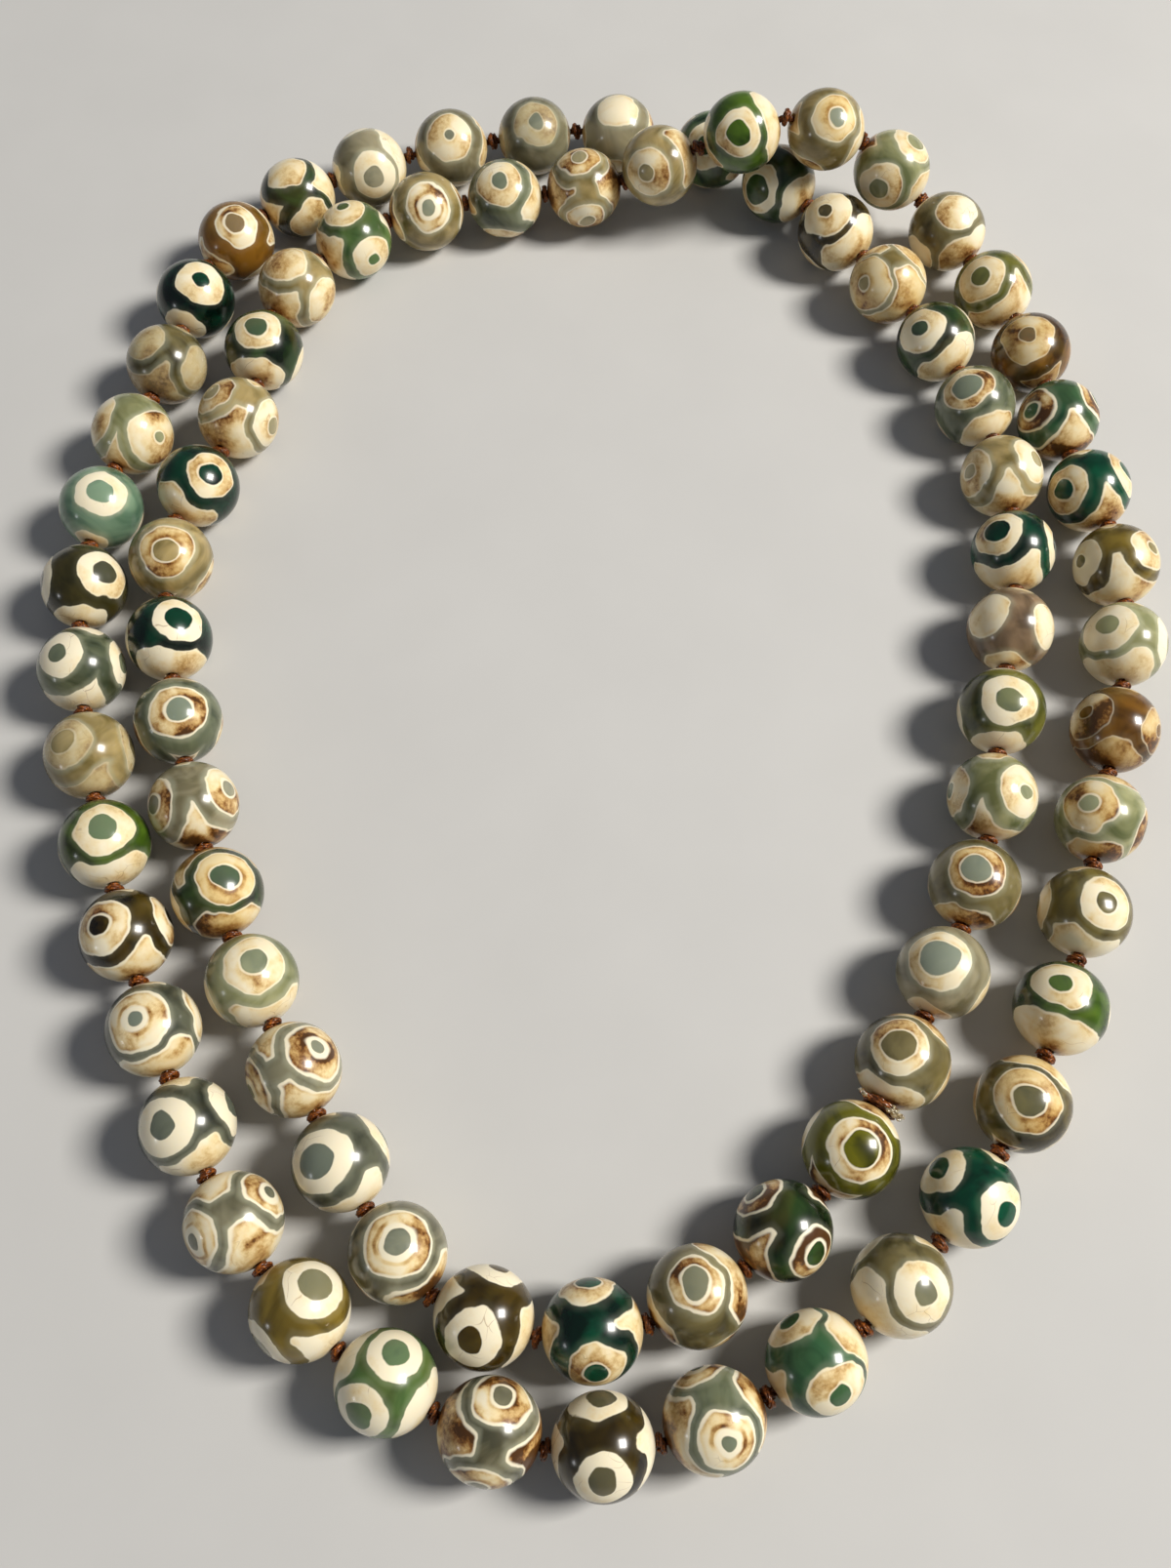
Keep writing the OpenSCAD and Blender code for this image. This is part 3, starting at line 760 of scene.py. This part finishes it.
def waxed_cord(name, gloss):
    """Red-brown waxed fibres, as glossy as given."""
    n = Nodes(name)
    place = n.add("ShaderNodeTexCoord").outputs["Object"]
    fibre = n.noise(place, 4200, 3, 0.6, 0.4).outputs["Fac"]
    patch = n.noise(place, 700, 2).outputs["Fac"]
    colour = n.ramp(fibre, (0.3, (36, 15, 1)), (0.5, (102, 49, 7)), (0.7, (186, 106, 32)))
    colour = n.blend(n.times(n.rise(patch, 0.4, 0.7), 0.5), colour, linear((58, 25, 3)))
    n.bump(fibre, 0.00006)
    return n.finish(
        Base_Color=colour,
        Roughness=n.math("MULTIPLY_ADD", patch, 0.2, 0.3),
        Specular_IOR_Level=0.3,
        Coat_Weight=gloss,
        Coat_Roughness=0.1,
    )


CORD_MATERIAL = waxed_cord("waxed_cord", 0.25)
# The cord's strands: how thick, how far off its middle, and how many turns in a metre
STRAND_R = 0.2 * MM
STRAND_OUT = 0.235 * MM
TWIST = 420
# How far into a bead the cord shows, how near its places are there, and how many the rest has
CORD_SHOWS = 0.9 * MM
CORD_STEP = 0.15 * MM
HIDDEN_PLACES = 8


def through_bead(index):
    """Places along the cord through one bead, close together where the cord shows."""
    length = np.linalg.norm(KNOTS[index + 1] - KNOTS[index])
    near = np.arange(0, CORD_SHOWS, CORD_STEP)
    middle = np.linspace(CORD_SHOWS, length - CORD_SHOWS, HIDDEN_PLACES)
    run = np.concatenate([near, middle, length - near[:0:-1]])
    return KNOTS[index] + run[:, None] * BEAD_WAYS[index]


# How many places a turn of a wrap has, the share of it over which each end is tucked in,
# and how near the knot's middle the ends come
WRAP_PLACES = 26
TUCK = 0.18
TUCKED_R = 0.35 * MM


def wrap(knot, axes, turns, out, along, phase):
    """One wrap of cord round a knot, as far out as given, from the first place to the last."""
    t = np.linspace(0, 1, int(WRAP_PLACES * turns))
    a = phase + 2 * math.pi * turns * t
    r = np.interp(t, [0, TUCK, 1 - TUCK, 1], [TUCKED_R, out, out, TUCKED_R])
    z = along[0] + (along[1] - along[0]) * t
    return knot + np.stack([r * np.cos(a), r * np.sin(a), z], axis=1) @ axes.T


def add_cord():
    """The cord through every bead."""
    path = np.concatenate([through_bead(i) for i in range(BEAD_COUNT)])
    points, faces = join(strands(path, STRAND_OUT, STRAND_R, TWIST))
    piece = new_piece("cord", points, faces, CORD_MATERIAL)
    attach(piece, "root")
    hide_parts("knotted_cord")


# A hand knot: how far out its wraps lie and how much that varies, how long it is at most,
# and how much of its gap stays free at each end
KNOT_OUT = 0.84 * MM
KNOT_VARIES = 0.05
KNOT_LENGTH = 0.9 * MM
KNOT_CLEAR = 0.22 * MM
# Its wraps: how many turns, which way along the string, and the angle at which they start
KNOT_WRAPS = [(1.25, 1, 0.0), (1.1, -1, 2.4)]
# Its strands, as the cord's
KNOT_STRAND_R = 0.15 * MM
KNOT_STRAND_OUT = 0.13 * MM
KNOT_TWIST = 330


def add_knots():
    """A hand knot of crossing wraps in each gap between beads but the closing knot's."""
    tubes = []
    chance = np.random.default_rng(7)
    for i in range(1, BEAD_COUNT):
        axes = frame_along(unit(BEAD_WAYS[i - 1] + BEAD_WAYS[i]))
        half = min(GAPS[i] / 2 - KNOT_CLEAR, KNOT_LENGTH / 2)
        phase = chance.uniform(0, 2 * math.pi)
        out = KNOT_OUT * chance.uniform(1 - KNOT_VARIES, 1 + KNOT_VARIES)
        for turns, way, start in KNOT_WRAPS:
            line = wrap(KNOTS[i], axes, turns, out, (-way * half, way * half), phase + start)
            tubes += strands(line, KNOT_STRAND_OUT, KNOT_STRAND_R, KNOT_TWIST, phase)
    points, faces = join(tubes)
    piece = new_piece("knots", points, faces, CORD_MATERIAL)
    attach(piece, "root")
    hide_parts("knotted_cord")


add_cord()
add_knots()


CLOSING_AXES = frame_along(unit(BEAD_WAYS[-1] + BEAD_WAYS[0]))


def on_rim(degrees, out):
    """A place round the closing knot, as many degrees from its top and as far out as given."""
    a = math.radians(degrees)
    return KNOTS[0] + CLOSING_AXES @ np.array([out * math.cos(a), out * math.sin(a), 0])


# The closing knot's wraps, in millimetres: how many turns, how far out, where along the
# string they start and end, and the angle at which they start
CLOSING_WRAPS = [
    (1.2, 0.8, -0.2, 0.2, 0.3),
    (1.1, 1.2, -0.3, -0.1, 2.0),
    (1.1, 1.2, 0.1, 0.3, 4.1),
    (1.05, 1.62, -0.45, 0.3, 5.6),
    (1.05, 1.62, 0.45, -0.3, 0.6),
    (0.5, 1.85, -0.4, 0.4, 5.0),
]
# Its cut ends: the angle from its top, and in millimetres, how far they lean along the
# string and how far they stand out of it. They start inside it and turn a little on the way
CUT_ENDS = [(38, 0.25, 1.0), (62, -0.2, 0.7)]
CUT_END_FROM = 0.8
CUT_END_TURN = 8
CUT_END_PLACES = 14
# Its strands, as the cord's
CLOSING_STRAND_R = 0.17 * MM
CLOSING_STRAND_OUT = 0.15 * MM
CLOSING_TWIST = 300


def cut_end(degrees, lean, length):
    """The line of a cut end, from inside the closing knot to its tip."""
    inner = on_rim(degrees, CUT_END_FROM * MM)
    tip = on_rim(degrees + CUT_END_TURN, (CLOSING_D / 2 + length) * MM)
    leaning = np.linspace(0, lean * MM, CUT_END_PLACES)[:, None] * CLOSING_AXES[:, 2]
    return np.linspace(inner, tip, CUT_END_PLACES) + leaning


def add_closing_knot():
    """The knot that closes the loop: wraps wound over each other, and two cut ends."""
    tubes = []
    for turns, out, first, last, start in CLOSING_WRAPS:
        line = wrap(KNOTS[0], CLOSING_AXES, turns, out * MM, (first * MM, last * MM), start)
        tubes += strands(line, CLOSING_STRAND_OUT, CLOSING_STRAND_R, CLOSING_TWIST, start)
    for end in CUT_ENDS:
        tubes += strands(cut_end(*end), CLOSING_STRAND_R, CLOSING_STRAND_R, CLOSING_TWIST, end[0])
    points, faces = join(tubes)
    piece = new_piece("closing_wraps", points, faces, waxed_cord("glued_cord", 0.9))
    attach(piece, "root")
    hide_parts("closing_knot")


add_closing_knot()


def clear_glue():
    """Clear glue that set cloudy here and there, brown with painted shade in its hollows."""
    n = Nodes("clear_glue")
    place = n.add("ShaderNodeTexCoord").outputs["Object"]
    cloud_and_shade = n.noise(place, 1800, 3).outputs["Fac"]
    # Painted shade: the glue is brown where its bumps dip and pale where they rise
    colour = n.ramp(cloud_and_shade, (0.36, (120, 92, 52)), (0.5, (216, 200, 160)), (0.62, (250, 246, 232)))
    n.bump(cloud_and_shade, 0.0004)
    return n.finish(
        Base_Color=colour,
        Roughness=n.math("MULTIPLY_ADD", cloud_and_shade, 0.12, 0.02),
        Transmission_Weight=0.5,
        Coat_Weight=1.0,
        Coat_Roughness=0.03,
    )


# The glue's crumbs, in millimetres: how far out and along the string from the closing
# knot's middle, the angle from its top, and the radius
GLUE_CRUMBS = [
    (2.0, 0.05, -38, 0.44),
    (1.85, 0.3, -24, 0.26),
    (1.9, -0.3, -30, 0.28),
    (2.2, 0.1, -54, 0.4),
    (2.0, -0.32, -50, 0.26),
    (2.05, 0.34, -46, 0.28),
    (2.35, -0.12, -68, 0.32),
    (2.2, 0.25, -72, 0.24),
    (2.1, -0.05, -86, 0.24),
    (2.45, 0.05, -46, 0.24),
    (1.75, 0.05, -12, 0.2),
    (2.95, 0.25, 47, 0.3),
    (2.7, -0.2, 70, 0.28),
]
CRUMB_RINGS = 10
CRUMB_SEGMENTS = 14
# How high a crumb's ridges are and how rough it is, in radii, and its form: how far it
# reaches up, across the string and along it
CRUMB_RIDGES = 0.16
CRUMB_ROUGH = 0.08
CRUMB_FORM = (1.1, 1.15, 0.8)


def add_glue():
    """The crumbs of clear glue that set on the closing knot."""
    chance = np.random.default_rng(5)
    pole = 0.02
    a = np.linspace(pole, math.pi - pole, CRUMB_RINGS)[:, None]
    turn = np.arange(CRUMB_SEGMENTS) / CRUMB_SEGMENTS * 2 * math.pi
    directions = np.sin(a) * np.cos(turn), np.sin(a) * np.sin(turn), -np.cos(a) + 0 * turn
    faces = ring_faces(CRUMB_RINGS, CRUMB_SEGMENTS, closed=False)
    crumbs = []
    for k, (out, along, degrees, radius) in enumerate(GLUE_CRUMBS):
        rough = CRUMB_ROUGH * chance.normal(size=(CRUMB_RINGS, CRUMB_SEGMENTS))
        ridges = CRUMB_RIDGES * np.sin(2 * turn + 3 * a + k) + rough
        r = radius * MM * (1 + ridges * np.sin(a))
        crumb = np.stack([r * d for d in directions], axis=-1).reshape(-1, 3) * CRUMB_FORM
        middle = on_rim(degrees, out * MM) + along * MM * CLOSING_AXES[:, 2]
        crumbs.append((crumb @ CLOSING_AXES.T + middle, faces))
    points, faces = join(crumbs)
    piece = new_piece("glue_drop", points, faces, clear_glue())
    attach(piece, "root")
    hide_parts("closing_knot")


add_glue()


TABLE_REACH = 3.0


def add_floor():
    """A pale plain table, as wide as any view of the necklace."""
    mesh = bpy.data.meshes.new("table")
    corners = [(x * TABLE_REACH, y * TABLE_REACH, 0) for x, y in ((-1, -1), (1, -1), (1, 1), (-1, 1))]
    mesh.from_pydata(corners, [], [(0, 1, 2, 3)])
    n = Nodes("pale_table")
    place = n.add("ShaderNodeTexCoord").outputs["Object"]
    tone = n.noise(place, 60, 4).outputs["Fac"]
    colour = n.ramp(tone, (0.3, (195, 194, 191)), (0.7, (198, 197, 194)))
    mesh.materials.append(n.finish(Base_Color=colour, Roughness=0.85))
    table = bpy.data.objects.new("table", mesh)
    bpy.context.scene.collection.objects.link(table)


def add_light(name, direction, distance, size, power, colour):
    """A square soft light that shines on the necklace's middle from one direction."""
    data = bpy.data.lights.new(name, "AREA")
    data.shape = "SQUARE"
    data.size = size
    data.energy = power
    data.color = colour
    light = bpy.data.objects.new(name, data)
    bpy.context.scene.collection.objects.link(light)
    away = Vector(direction).normalized()
    light.location = away * distance
    light.rotation_euler = away.to_track_quat("Z", "Y").to_euler()


# Each light: the direction that it shines from, how far off and how wide it is in metres,
# its power in watts and its colour
LIGHTS = {
    "key": ((0.7, 0.05, 0.75), 1.2, 0.33, 19.5, (1.0, 0.965, 0.91)),
    "low_fill": ((-0.85, -0.52, 0.25), 1.0, 0.1, 0.35, (0.95, 0.97, 1.0)),
}
ROOM_COLOUR = (0.8, 0.86, 1.0, 1)
ROOM_STRENGTH = 0.16


def add_lights():
    """The two lights, and the dim cool room round them."""
    for name, light in LIGHTS.items():
        add_light(name, *light)
    world = bpy.data.worlds.new("room")
    world.use_nodes = True
    background = world.node_tree.nodes["Background"]
    background.inputs["Color"].default_value = ROOM_COLOUR
    background.inputs["Strength"].default_value = ROOM_STRENGTH
    bpy.context.scene.world = world
    bpy.context.scene.view_settings.view_transform = "Standard"


add_floor()
add_lights()
